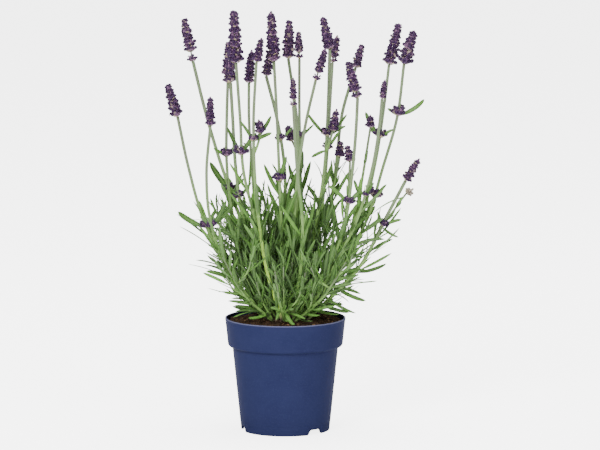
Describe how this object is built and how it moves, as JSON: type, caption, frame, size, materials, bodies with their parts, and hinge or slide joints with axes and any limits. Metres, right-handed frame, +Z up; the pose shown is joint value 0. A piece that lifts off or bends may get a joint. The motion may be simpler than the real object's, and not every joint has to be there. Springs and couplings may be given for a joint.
{
  "type": "potted lavender plant",
  "caption": "Flowering lavender in a round tapered nursery pot: upright square stems with violet spikes over a fan of narrow grey-green leaves, rooted in peat compost.",
  "frame": {"origin": "centre of the pot's underside, on the surface it stands on", "axes": "+Z up along the pot's axis, -Y towards the plant's front, +X to the right as seen from the front"},
  "size_m": [0.2537, 0.1785, 0.424],
  "materials": {
    "blue_plastic": "satin moulded polypropylene, dark blue",
    "peat_compost": "moist crumbly peat compost, matt",
    "old_wood": "rough grey-brown bark",
    "green_leaf": "soft grey-green leaf and stem with fine hairs",
    "violet_flower": "felted violet calyces and petals"
  },
  "bodies": {
    "root": {"pot": "blue_plastic", "soil": "peat_compost", "woody_crown": "old_wood", "flower_stem_01": "green_leaf", "flower_stem_02": "green_leaf", "flower_stem_03": "green_leaf", "flower_stem_04": "green_leaf", "flower_stem_05": "green_leaf", "flower_stem_06": "green_leaf", "flower_stem_07": "green_leaf", "flower_stem_08": "green_leaf", "flower_stem_09": "green_leaf", "flower_stem_10": "green_leaf", "flower_stem_11": "green_leaf", "flower_stem_12": "green_leaf", "flower_stem_13": "green_leaf", "flower_stem_14": "green_leaf", "flower_stem_15": "green_leaf", "flower_stem_16": "green_leaf", "flower_stem_17": "green_leaf", "flower_stem_18": "green_leaf", "flower_stem_19": "green_leaf", "flower_stem_20": "green_leaf", "flower_stem_21": "green_leaf", "flower_stem_22": "green_leaf", "leafy_branch_1": "green_leaf", "leafy_branch_2": "green_leaf", "leafy_branch_3": "green_leaf", "leafy_branch_4": "green_leaf", "leafy_branch_5": "green_leaf", "leafy_branch_6": "green_leaf", "flower_spike_01": "violet_flower", "flower_spike_02": "violet_flower", "flower_spike_03": "violet_flower", "flower_spike_04": "violet_flower", "flower_spike_05": "violet_flower", "flower_spike_06": "violet_flower", "flower_spike_07": "violet_flower", "flower_spike_08": "violet_flower", "flower_spike_09": "violet_flower", "flower_spike_10": "violet_flower", "flower_spike_11": "violet_flower", "flower_spike_12": "violet_flower", "flower_spike_13": "violet_flower", "flower_spike_14": "violet_flower", "flower_spike_15": "violet_flower", "flower_spike_16": "violet_flower", "flower_spike_17": "violet_flower", "flower_spike_18": "violet_flower", "flower_spike_19": "violet_flower", "flower_spike_20": "violet_flower", "flower_spike_21": "violet_flower", "flower_spike_22": "violet_flower", "side_spike_1": "violet_flower", "side_spike_2": "violet_flower", "side_spike_3": "violet_flower", "side_spike_4": "violet_flower", "side_spike_5": "violet_flower", "side_spike_6": "violet_flower", "side_spike_7": "violet_flower"}
  },
  "joints": []
}
